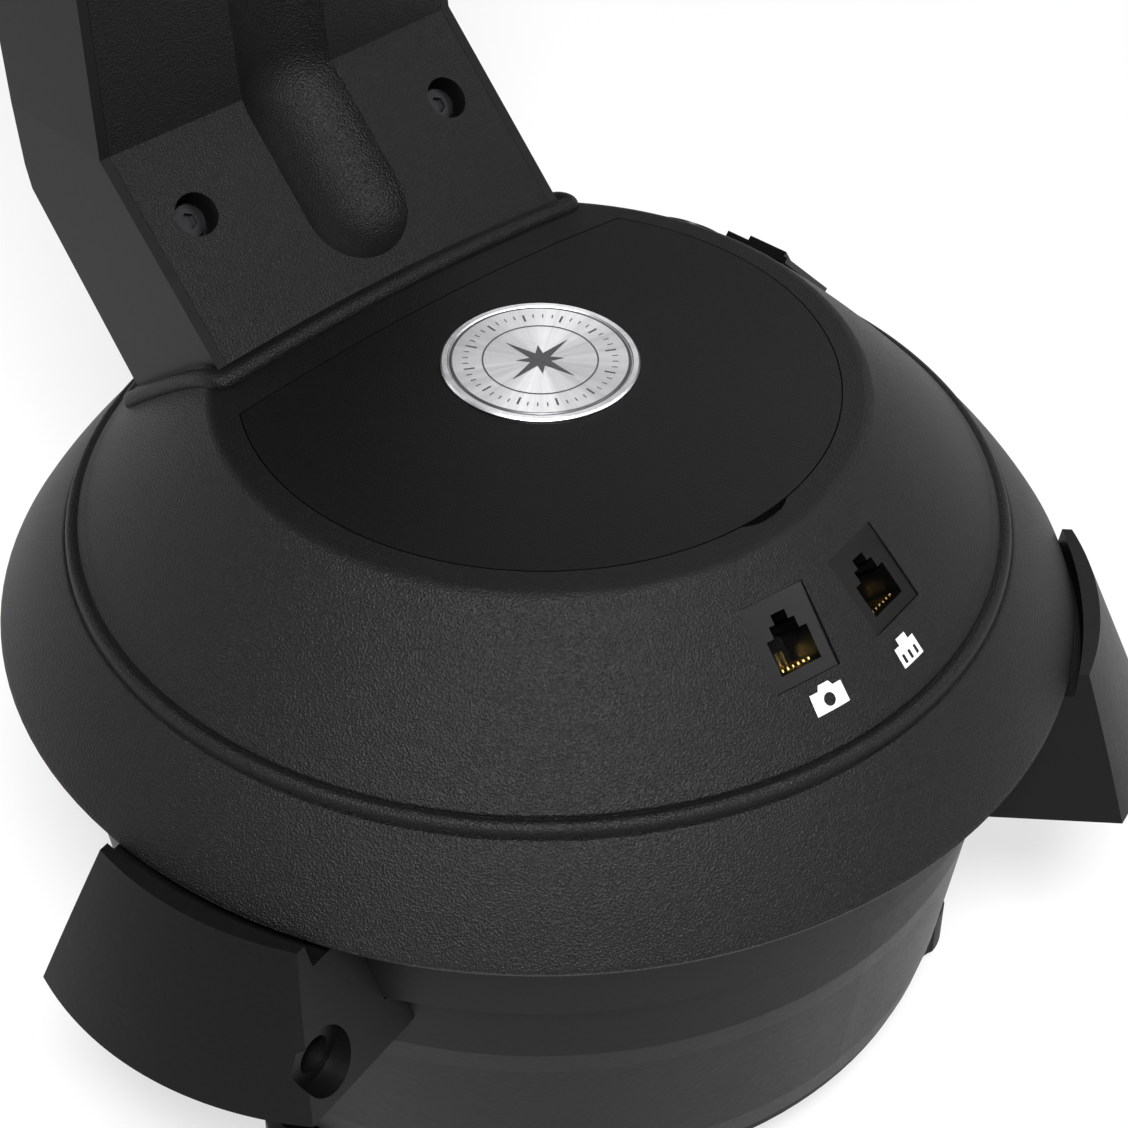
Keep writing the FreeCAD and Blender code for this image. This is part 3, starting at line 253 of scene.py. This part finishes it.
def badge_material():
    m, nt, bs = new_mat("spun_aluminium_badge")
    g = G(nt)
    x, y, z = g.xyz()
    r = g.math("SQRT", g.math("ADD", g.math("MULTIPLY", x, x), g.math("MULTIPLY", y, y)))
    comb = g.node("ShaderNodeCombineXYZ")
    g.link(g.math("MULTIPLY", r, 9000.0), comb.inputs[0])
    rings = g.noise(1.0, 2.0, 0.6, vec=comb.outputs[0])
    # Angle-based noise in the base colour: painted fan-shaped highlight streaks, standing in for the spun disc's
    # radial sheen.
    ang = g.math("ARCTAN2", y, x)
    comb2 = g.node("ShaderNodeCombineXYZ")
    g.link(g.math("MULTIPLY", g.math("COSINE", ang), 2.2), comb2.inputs[0])
    g.link(g.math("MULTIPLY", g.math("SINE", ang), 2.2), comb2.inputs[1])
    painted_fan_highlight = g.noise(3.0, 3.0, 0.6, vec=comb2.outputs[0])
    # The base colour mixes real concentric spin marks with the painted fan highlight.
    tone = g.math("ADD", g.math("MULTIPLY", rings, 0.45), g.math("MULTIPLY", painted_fan_highlight, 0.55))
    spin_marks_and_painted_sheen = g.mix(g.maprange(tone, 0.3, 0.7), (0.50, 0.50, 0.51), (0.80, 0.80, 0.81))
    groove = g.math("MULTIPLY", g.maprange(r, 0.01790, 0.01800), g.maprange(r, 0.01875, 0.01865))
    g.link(g.mix(groove, spin_marks_and_painted_sheen, (0.05, 0.05, 0.055)), bs.inputs["Base Color"])
    g.link(g.maprange(rings, 0.3, 0.7, 0.26, 0.38), bs.inputs["Roughness"])
    g.link(g.maprange(groove, 0.0, 1.0, 1.0, 0.3), bs.inputs["Metallic"])
    bs.inputs["Anisotropic"].default_value = 0.75
    t = g.node("ShaderNodeTangent", direction_type="RADIAL", axis="Z")
    g.link(t.outputs[0], bs.inputs["Tangent"])
    g.link(g.bump(rings, 0.00002, 0.35), bs.inputs["Normal"])
    return m


def paint(name, col, rough=0.5):
    m, nt, bs = new_mat(name)
    g = G(nt)
    n = g.noise(2200, 3.0, 0.6)
    g.link(g.mix(g.maprange(n, 0.35, 0.7), [c * 0.88 for c in col], col), bs.inputs["Base Color"])
    g.link(g.maprange(n, 0.3, 0.7, rough - 0.05, rough + 0.08), bs.inputs["Roughness"])
    g.link(g.bump(n, 0.00002, 0.3), bs.inputs["Normal"])
    return m


def board_material():
    m, nt, bs = new_mat("circuit_board")
    g = G(nt)
    n = g.noise(160, 2.0, 0.5)
    tr = g.voronoi(240, "DISTANCE_TO_EDGE", rand=0.4)
    lines = g.ramp(tr, [(0.0, 1.0), (0.04, 1.0), (0.06, 0.0)])
    base = g.mix(g.maprange(n, 0.3, 0.7), (0.008, 0.06, 0.022), (0.014, 0.10, 0.035))
    g.link(g.mix(lines, base, (0.03, 0.16, 0.06)), bs.inputs["Base Color"])
    g.link(g.maprange(n, 0.3, 0.7, 0.3, 0.42), bs.inputs["Roughness"])
    g.link(g.bump(lines, 0.00003, 0.5), bs.inputs["Normal"])
    return m


def cell_material():
    m, nt, bs = new_mat("battery_sleeve")
    g = G(nt)
    geo = g.node("ShaderNodeTexCoord")
    s = g.node("ShaderNodeSeparateXYZ")
    g.link(geo.outputs["Normal"], s.inputs[0])
    end = g.maprange(g.math("ABSOLUTE", s.outputs[1]), 0.8, 0.95)
    n = g.noise(90, 3.0, 0.5)
    band = g.math("SINE", g.math("MULTIPLY", g.xyz()[1], 250.0))
    sleeve = g.mix(g.maprange(band, 0.55, 0.65), (0.03, 0.032, 0.038), (0.30, 0.17, 0.06))
    g.link(g.mix(end, sleeve, (0.6, 0.6, 0.6)), bs.inputs["Base Color"])
    g.link(end, bs.inputs["Metallic"])
    g.link(g.maprange(n, 0.3, 0.7, 0.25, 0.35), bs.inputs["Roughness"])
    g.link(g.bump(n, 0.00003, 0.3), bs.inputs["Normal"])
    return m


MAT = {
    "shell": shell_material(),
    "grained": plastic("grained_plastic", 0.0060, 0.45, "spark", 0.00028, 1.0),
    "leather": plastic("leather_grain_plastic", 0.0036, 0.46, "leather", 0.00005, 0.9),
    "smooth": plastic("satin_plastic", 0.0052, 0.44, "fine", 0.00003, 0.5),
    "dark": plastic("socket_plastic", 0.0040, 0.34, "fine", 0.00003, 0.35, scale=2.0),
    "cast": metal("powder_coated_casting", (0.0085, 0.0088, 0.0095), 0.45, "cast", 0.00008, 0.55, metallic=0.0),
    "machined": metal("machined_aluminium", (0.62, 0.62, 0.63), 0.28, "turned", 0.00002, 0.4),
    "frame": metal("cast_aluminium", (0.50, 0.50, 0.51), 0.42, "cast", 0.00006, 0.5),
    "steel": metal("zinc_plated_steel", (0.52, 0.53, 0.55), 0.30, "turned", 0.00002, 0.4),
    "steel_x": metal("steel_turned_x", (0.55, 0.56, 0.57), 0.28, "turned", 0.00002, 0.4, axis=0),
    "oxide": metal("black_oxide_steel", (0.030, 0.030, 0.032), 0.38, "brushed", 0.00002, 0.4, metallic=0.8),
    "bronze": metal("turned_bronze", (0.55, 0.36, 0.16), 0.32, "turned", 0.00002, 0.4),
    "bronze_x": metal("turned_bronze_x", (0.55, 0.36, 0.16), 0.32, "turned", 0.00002, 0.4, axis=0),
    "gold": metal("gold_contact", (0.85, 0.62, 0.22), 0.22, "brushed", 0.00001, 0.3),
    "anodised": metal("black_anodised_aluminium", (0.030, 0.030, 0.033), 0.33, "brushed", 0.00002, 0.5, metallic=0.6, axis=1),
    "badge": badge_material(),
    "board": board_material(),
    "cells": cell_material(),
    "white_print": paint("white_pad_print", (0.80, 0.80, 0.80), 0.45),
    "grey_print": paint("grey_badge_print", (0.045, 0.045, 0.05), 0.40),
    "rubber": plastic("knob_rubber", 0.006, 0.55, "fine", 0.00004, 0.6),
}
USE = {
    "shell": ["base_shell"], "grained": ["arm_inner_cover"], "leather": ["battery_door"],
    "smooth": ["arm_outer_cover", "altitude_cap", "base_pan"],
    "dark": ["camera_jack", "aux_jack", "power_socket", "switch_housing", "power_switch", "battery_tray", "azimuth_gearbox", "altitude_gearbox", "board_standoffs"],
    "rubber": ["mounting_knob_1", "mounting_knob_2", "mounting_knob_3", "clamp_knob"],
    "cast": ["tripod_head", "head_lower_plate", "leg_socket_1", "leg_socket_2", "leg_socket_3"],
    "machined": ["base_plate"], "frame": ["arm_frame"],
    "steel": ["azimuth_spindle", "spindle_washer", "spindle_nut", "gear_screws", "pan_screws", "battery_contacts", "power_socket_pin", "azimuth_motor", "altitude_motor"],
    "steel_x": ["altitude_shaft", "altitude_bearings"],
    "oxide": ["leg_socket_bolts", "arm_cover_screws", "saddle_screws", "arm_frame_bolts"],
    "bronze": ["azimuth_gear", "azimuth_bush", "azimuth_pinion"], "bronze_x": ["altitude_gear", "altitude_pinion"],
    "gold": ["jack_contacts"], "anodised": ["saddle_plate", "dovetail_jaw"],
    "badge": ["badge"], "board": ["port_board", "main_board"], "cells": ["aa_cells"],
}
for key, names in USE.items():
    for nm in names:
        o = NODES[nm]
        o.data.materials.clear()
        o.data.materials.append(MAT[key])
for nm, o in NODES.items():
    for p in o.data.polygons:
        p.use_smooth = True
    o.data.set_sharp_from_angle(angle=math.radians(30))
    w = o.modifiers.new("even_normals", "WEIGHTED_NORMAL")
    w.keep_sharp = True
assert {n for v in USE.values() for n in v} == set(NODES), set(NODES) ^ {n for v in USE.values() for n in v}


# ------------------------------------------------------------------ outline of the shell
def arc_points(a, m, b, n):
    (ax, ay), (bx, by), (cx, cy) = a, m, b
    dd = 2 * (ax * (by - cy) + bx * (cy - ay) + cx * (ay - by))
    ux = ((ax * ax + ay * ay) * (by - cy) + (bx * bx + by * by) * (cy - ay) + (cx * cx + cy * cy) * (ay - by)) / dd
    uy = ((ax * ax + ay * ay) * (cx - bx) + (bx * bx + by * by) * (ax - cx) + (cx * cx + cy * cy) * (bx - ax)) / dd
    rad = math.hypot(ax - ux, ay - uy)
    t0, tm, t1 = (math.atan2(q[1] - uy, q[0] - ux) for q in (a, m, b))
    while tm - t0 > math.pi: tm -= 2 * math.pi
    while tm - t0 < -math.pi: tm += 2 * math.pi
    while t1 - tm > math.pi: t1 -= 2 * math.pi
    while t1 - tm < -math.pi: t1 += 2 * math.pi
    return [(ux + rad * math.cos(t0 + (t1 - t0) * i / n), uy + rad * math.sin(t0 + (t1 - t0) * i / n)) for i in range(n + 1)]


def dome(r):
    return 57.75 - (470.0 - math.sqrt(470.0 ** 2 - r * r))


PROFILE = [(66.2 * i / 40, dome(66.2 * i / 40)) for i in range(41)]
PROFILE += arc_points(PROFILE[-1], (67.55, 52.65), (68.5, 52.0), 6)[1:]
PROFILE += arc_points((68.5, 52.0), (82.9, 38.35), (96.5, 23.9), 80)[1:]
LOWER = [(96.6, 23.0), (97.5, 23.25)] + arc_points((97.5, 23.25), (98.85, 22.8), (99.15, 21.45), 14)[1:] + [(99.2, 20.4), (99.9, 20.5)]
LOWER += arc_points((99.9, 20.5), (107.95, 11.1), (115.0, 0.7), 60)[1:] + [(114.5, 0.0)]
PROFILE += LOWER


def surface(r):
    """Rise of the shell's outer surface at radius r, in millimetres."""
    for (r0_, z0_), (r1_, z1_) in zip(PROFILE, PROFILE[1:]):
        if r0_ <= r <= r1_ and r1_ > r0_:
            return z0_ + (z1_ - z0_) * (r - r0_) / (r1_ - r0_)
    return 0.0


def piece(name, bm, mat, body, smooth=True, sharp=None):
    me = bpy.data.meshes.new(name)
    bm.normal_update()
    bm.to_mesh(me)
    bm.free()
    if smooth:
        for q in me.polygons:
            q.use_smooth = True
        if sharp:
            me.set_sharp_from_angle(angle=math.radians(sharp))
    o = bpy.data.objects.new(name, me)
    bpy.context.scene.collection.objects.link(o)
    me.materials.append(mat)
    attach(o, body)
    return o


# ------------------------------------------------------------------ fine skin over the bead, its groove and the skirt
def resample(pts, step):
    out = [pts[0]]
    for a, b in zip(pts, pts[1:]):
        k = max(1, int(math.ceil(math.dist(a, b) / step)))
        out += [(a[0] + (b[0] - a[0]) * i / k, a[1] + (b[1] - a[1]) * i / k) for i in range(1, k + 1)]
    return out


skin = [q for q in PROFILE if 94.4 <= q[0] and q in PROFILE[47:]]
skin = resample(skin[:skin.index((99.9, 20.5)) + 1], 0.12) + resample([(99.9, 20.5)] + arc_points((99.9, 20.5), (107.95, 11.1), (115.0, 0.7), 60)[1:] + [(114.5, 0.0)], 0.8)[1:]
for _ in range(3):
    skin = [skin[0]] + [((a[0] + 2 * b[0] + c[0]) / 4, (a[1] + 2 * b[1] + c[1]) / 4) for a, b, c in zip(skin, skin[1:], skin[2:])] + [skin[-1]]
offs = []
for i, q in enumerate(skin):
    a, b = skin[max(0, i - 1)], skin[min(len(skin) - 1, i + 1)]
    tx, tz = b[0] - a[0], b[1] - a[1]
    l = math.hypot(tx, tz) or 1.0
    grow = 0.10 * min(1.0, i / 12.0)
    offs.append((q[0] - tz / l * grow, q[1] + tx / l * grow))
bm = bmesh.new()
SEG = 360
rings_v = []
for k in range(SEG):
    t = 2 * math.pi * k / SEG
    rings_v.append([bm.verts.new(mm(q[0] * math.cos(t), q[0] * math.sin(t), 108.0 + q[1])) for q in offs])
for k in range(SEG):
    A, B = rings_v[k], rings_v[(k + 1) % SEG]
    for j in range(len(offs) - 1):
        bm.faces.new((A[j], A[j + 1], B[j + 1], B[j]))
piece("flank_bead_skin", bm, MAT["shell"], "turning_base")


# ------------------------------------------------------------------ rounded lip round the arm's foot
LEAN0, LEAN1 = (-30.25, 40.0), (-80.65, 88.0)
SL = (LEAN1[1] - LEAN0[1]) / (LEAN0[0] - LEAN1[0])
SIN = 0.690


def front_x(y):
    """Where the crowned face meets the shell, on the line at this y."""
    bulge = (math.sqrt(594.0 ** 2 - y * y) - 592.1) / SIN
    lo_, hi_ = -75.0, -20.0
    for _ in range(40):
        x = (lo_ + hi_) / 2
        rise = LEAN0[1] + (LEAN0[0] + bulge - x) * SL
        if rise > surface(math.hypot(x, y)):
            lo_ = x
        else:
            hi_ = x
    return (lo_ + hi_) / 2


def back_x(y):
    lo_, hi_ = -110.0, -60.0
    for _ in range(40):
        x = (lo_ + hi_) / 2
        rise = 28.9 + (-70.5 - x) * (40.0 / 37.1)
        if rise > surface(math.hypot(x, y)):
            lo_ = x
        else:
            hi_ = x
    return (lo_ + hi_) / 2


W = 47.5
loop = [(front_x(-W + 2 * W * i / 60), -W + 2 * W * i / 60) for i in range(61)]
xa, xb = loop[-1][0], back_x(W)
loop += [(xa + (xb - xa) * i / 30, W) for i in range(1, 30)]
loop += [(back_x(W - 2 * W * i / 60), W - 2 * W * i / 60) for i in range(61)]
xa, xb = loop[-1][0], loop[0][0]
loop += [(xa + (xb - xa) * i / 30, -W) for i in range(1, 30)]
path = []
N = len(loop)
for i in range(N):
    p0, p1, p2 = loop[i - 1], loop[i], loop[(i + 1) % N]
    t1 = math.atan2(p1[1] - p0[1], p1[0] - p0[0]) - math.pi / 2
    t2 = math.atan2(p2[1] - p1[1], p2[0] - p1[0]) - math.pi / 2
    turn_ = (t2 - t1 + math.pi) % (2 * math.pi) - math.pi
    steps = 7 if abs(turn_) > 0.3 else 1
    for k in range(steps):
        t = t1 + turn_ * ((k + 0.5) / steps)
        x, y = p1[0] + 1.95 * math.cos(t), p1[1] + 1.95 * math.sin(t)
        path.append(Vector((x, y, surface(math.hypot(x, y)) + 0.15)))
for _ in range(3):
    path = [(path[i - 1] + 2 * path[i] + path[(i + 1) % len(path)]) / 4 for i in range(len(path))]
bm = bmesh.new()
ring_list = []
n_p = len(path)
for i in range(n_p):
    tan = (path[(i + 1) % n_p] - path[i - 1]).normalized()
    side_v = tan.cross(Vector((0, 0, 1))).normalized()
    up_v = side_v.cross(tan).normalized()
    ring_list.append([bm.verts.new((path[i] + side_v * 2.15 * math.cos(2 * math.pi * k / 20) + up_v * 2.15 * math.sin(2 * math.pi * k / 20)) / 1000.0 + Vector((0, 0, Z0))) for k in range(20)])
for i in range(n_p):
    A, B = ring_list[i], ring_list[(i + 1) % n_p]
    for k in range(20):
        bm.faces.new((A[k], A[(k + 1) % 20], B[(k + 1) % 20], B[k]))
bmesh.ops.recalc_face_normals(bm, faces=bm.faces)
piece("arm_foot_lip", bm, MAT["grained"], "turning_base")


# ------------------------------------------------------------------ printed pictograms
def loop_arc(cx, cy, rad, a0, a1, n):
    return [(cx + rad * math.cos(math.radians(a0 + (a1 - a0) * i / n)), cy + rad * math.sin(math.radians(a0 + (a1 - a0) * i / n))) for i in range(n + 1)]


def rounded(x0, y0, x1, y1, rad):
    return (loop_arc(x1 - rad, y0 + rad, rad, -90, 0, 5) + loop_arc(x1 - rad, y1 - rad, rad, 0, 90, 5)
            + loop_arc(x0 + rad, y1 - rad, rad, 90, 180, 5) + loop_arc(x0 + rad, y0 + rad, rad, 180, 270, 5))


def flat_shape(loops, fine=0.6):
    bm_ = bmesh.new()
    edges = []
    for lp in loops:
        vs = [bm_.verts.new((x, y, 0)) for x, y in lp]
        edges += [bm_.edges.new((vs[i], vs[(i + 1) % len(vs)])) for i in range(len(vs))]
    bmesh.ops.triangle_fill(bm_, use_beauty=True, use_dissolve=False, edges=edges)
    for _ in range(3):
        long_e = [e for e in bm_.edges if e.calc_length() > fine]
        if not long_e:
            break
        bmesh.ops.subdivide_edges(bm_, edges=long_e, cuts=1)
        bmesh.ops.triangulate(bm_, faces=bm_.faces)
    return bm_


FLANK = PROFILE[46:127]


def on_flank(az, r_c, px, py, off=0.07):
    """Point px along the rim and py up the slope from the place (az, r_c) on the flank."""
    j = min(range(len(FLANK) - 1), key=lambda q: abs(FLANK[q][0] - r_c))
    (ra, za), (rb, zb) = FLANK[max(0, j - 12)], FLANK[min(len(FLANK) - 1, j + 12)]
    l = math.hypot(rb - ra, zb - za)
    rr = r_c - py * (rb - ra) / l
    zz = surface(rr)
    nx, nz = -(zb - za) / l, (rb - ra) / l
    a = math.radians(az) + px / r_c
    return mm((rr + nx * off) * math.cos(a), (rr + nx * off) * math.sin(a), 108.0 + zz + nz * off)


def decal(name, loops, az, r_c):
    bm_ = flat_shape(loops)
    for v in bm_.verts:
        v.co = on_flank(az, r_c, v.co.x, v.co.y)
    bmesh.ops.recalc_face_normals(bm_, faces=bm_.faces)
    o = piece(name, bm_, MAT["white_print"], "turning_base")
    return o


camera_body = [(-4.0, -2.5), (4.0, -2.5), (4.0, 1.9), (1.9, 1.9), (1.3, 3.0), (-1.3, 3.0), (-1.9, 1.9), (-4.0, 1.9)]
lens = loop_arc(0, -0.35, 1.35, 0, 345, 23)
decal("camera_pictogram", [camera_body, lens], -5.4, 90.2)
plug = [(-3.2, -2.9), (3.2, -2.9), (3.2, 1.4), (1.5, 1.4), (1.5, 2.9), (-1.5, 2.9), (-1.5, 1.4), (-3.2, 1.4)]
slots = [rounded(x - 0.38, -2.9 + 0.6, x + 0.38, -0.4, 0.18) for x in (-1.9, 0.0, 1.9)]
decal("plug_pictogram", [plug] + slots, 8.8, 91.0)

# ------------------------------------------------------------------ badge motif: a ring of ticks and a four-point star
bm = bmesh.new()
zt = 108.0 + 58.1 + 0.03
for k in range(48):
    t = 2 * math.pi * k / 48
    r_in, wid = (13.6, 0.22) if k % 4 == 0 else (14.7, 0.13)
    c_, s_ = math.cos(t), math.sin(t)
    vs = [bm.verts.new(mm(rr * c_ - ww * s_, rr * s_ + ww * c_, zt)) for rr, ww in ((r_in, -wid), (15.9, -wid), (15.9, wid), (r_in, wid))]
    bm.faces.new(vs)
for scale_, turn_deg, zt in ((9.0, 8.0, 166.16), (5.0, 53.0, 166.13)):
    pts = []
    for k in range(8):
        rr = scale_ if k % 2 == 0 else 1.5
        t = math.radians(turn_deg + 45.0 * k)
        pts.append(bm.verts.new(mm(rr * math.cos(t), rr * math.sin(t), zt)))
    mid_v = bm.verts.new(mm(0, 0, zt + 0.05))
    for k in range(8):
        bm.faces.new((mid_v, pts[k], pts[(k + 1) % 8]))
zt = 166.13
for r_a, r_b in ((11.6, 11.95),):
    vs_a = [bm.verts.new(mm(r_a * math.cos(2 * math.pi * k / 120), r_a * math.sin(2 * math.pi * k / 120), zt)) for k in range(120)]
    vs_b = [bm.verts.new(mm(r_b * math.cos(2 * math.pi * k / 120), r_b * math.sin(2 * math.pi * k / 120), zt)) for k in range(120)]
    for k in range(120):
        bm.faces.new((vs_a[k], vs_b[k], vs_b[(k + 1) % 120], vs_a[(k + 1) % 120]))
piece("badge_motif", bm, MAT["grey_print"], "battery_door", smooth=False)


# ------------------------------------------------------------------ stage, camera, light
def plane_mesh(name, half, z):
    bm = bmesh.new()
    n = 24
    vs = [[bm.verts.new((-half + 2 * half * i / n, -half + 2 * half * j / n, z)) for j in range(n + 1)] for i in range(n + 1)]
    for i in range(n):
        for j in range(n):
            bm.faces.new((vs[i][j], vs[i + 1][j], vs[i + 1][j + 1], vs[i][j + 1]))
    me = bpy.data.meshes.new(name)
    bm.to_mesh(me)
    o = bpy.data.objects.new(name, me)
    bpy.context.scene.collection.objects.link(o)
    return o


floor = plane_mesh("floor", 3.0, -0.0004)
fm, fnt, fbs = new_mat("pale_floor")
fg = G(fnt)
fn = fg.noise(3.0, 3.0, 0.5)
fg.link(fg.mix(fg.maprange(fn, 0.3, 0.7), (0.32, 0.32, 0.322), (0.335, 0.335, 0.337)), fbs.inputs["Base Color"])
fbs.inputs["Roughness"].default_value = 0.85
fbs.inputs["Specular IOR Level"].default_value = 0.15
fbs.inputs["Emission Color"].default_value = (1.0, 1.0, 1.0, 1)
fbs.inputs["Emission Strength"].default_value = 0.62
floor.data.materials.append(fm)

el, roll = math.radians(39.97), 0.0144
turn = math.radians(46.0)
ct, st = math.cos(turn), math.sin(turn)


def to_obj(x, y, z):
    """From the camera's upright frame (x right, y away) to the object's frame."""
    return Vector((x * ct - y * st, x * st + y * ct, z))


cam_pos = to_obj(5.4165, -471.914, 399.4525) / 1000.0 + Vector((0, 0, Z0))
d = to_obj(0, math.cos(el), -math.sin(el))
r0 = to_obj(1, 0, 0)
u0 = to_obj(0, math.sin(el), math.cos(el))
r = r0 * math.cos(roll) + u0 * math.sin(roll)
u = -r0 * math.sin(roll) + u0 * math.cos(roll)
cd = bpy.data.cameras.new("camera")
cd.sensor_width = 36.0
cd.lens = 2856.7 / 1128.0 * 36.0
cd.clip_start, cd.clip_end = 0.05, 30.0
cam = bpy.data.objects.new("camera", cd)
bpy.context.scene.collection.objects.link(cam)
m = Matrix((( r.x, u.x, -d.x, cam_pos.x), (r.y, u.y, -d.y, cam_pos.y), (r.z, u.z, -d.z, cam_pos.z), (0, 0, 0, 1)))
cam.matrix_world = m
bpy.context.scene.camera = cam

world = bpy.data.worlds.new("studio")
bpy.context.scene.world = world
world.use_nodes = True
bg = world.node_tree.nodes["Background"]
bg.inputs[0].default_value = (0.95, 0.97, 1.0, 1)
bg.inputs[1].default_value = 0.05


def area(name, pos, target, size, power, size_y=None):
    l = bpy.data.lights.new(name, "AREA")
    l.shape = "RECTANGLE"
    l.size, l.size_y = size, size_y or size
    l.energy = power
    o = bpy.data.objects.new(name, l)
    bpy.context.scene.collection.objects.link(o)
    o.location = pos
    o.rotation_mode = "QUATERNION"
    o.rotation_quaternion = (Vector(target) - Vector(pos)).to_track_quat("-Z", "Y")
    return o


aim = Vector((0, 0, Z0 + 0.03))
area("key", to_obj(0.05, -0.95, 1.25) + Vector((0, 0, Z0)), aim, 0.40, 34.0, 0.32)
area("top", to_obj(0.0, 0.1, 2.0), aim, 1.6, 2.5)
area("far", to_obj(0.15, 1.7, 1.45), aim, 1.0, 3.2, 0.40)
area("left", to_obj(-1.3, 0.55, 0.75), aim, 0.45, 5.0, 0.8)
area("right", to_obj(1.35, -0.12, 1.0), aim, 0.40, 7.0, 0.5)
area("back", to_obj(0.95, 1.15, 1.0), aim, 0.5, 5.0, 0.5)
bpy.context.scene.view_settings.view_transform = "Standard"
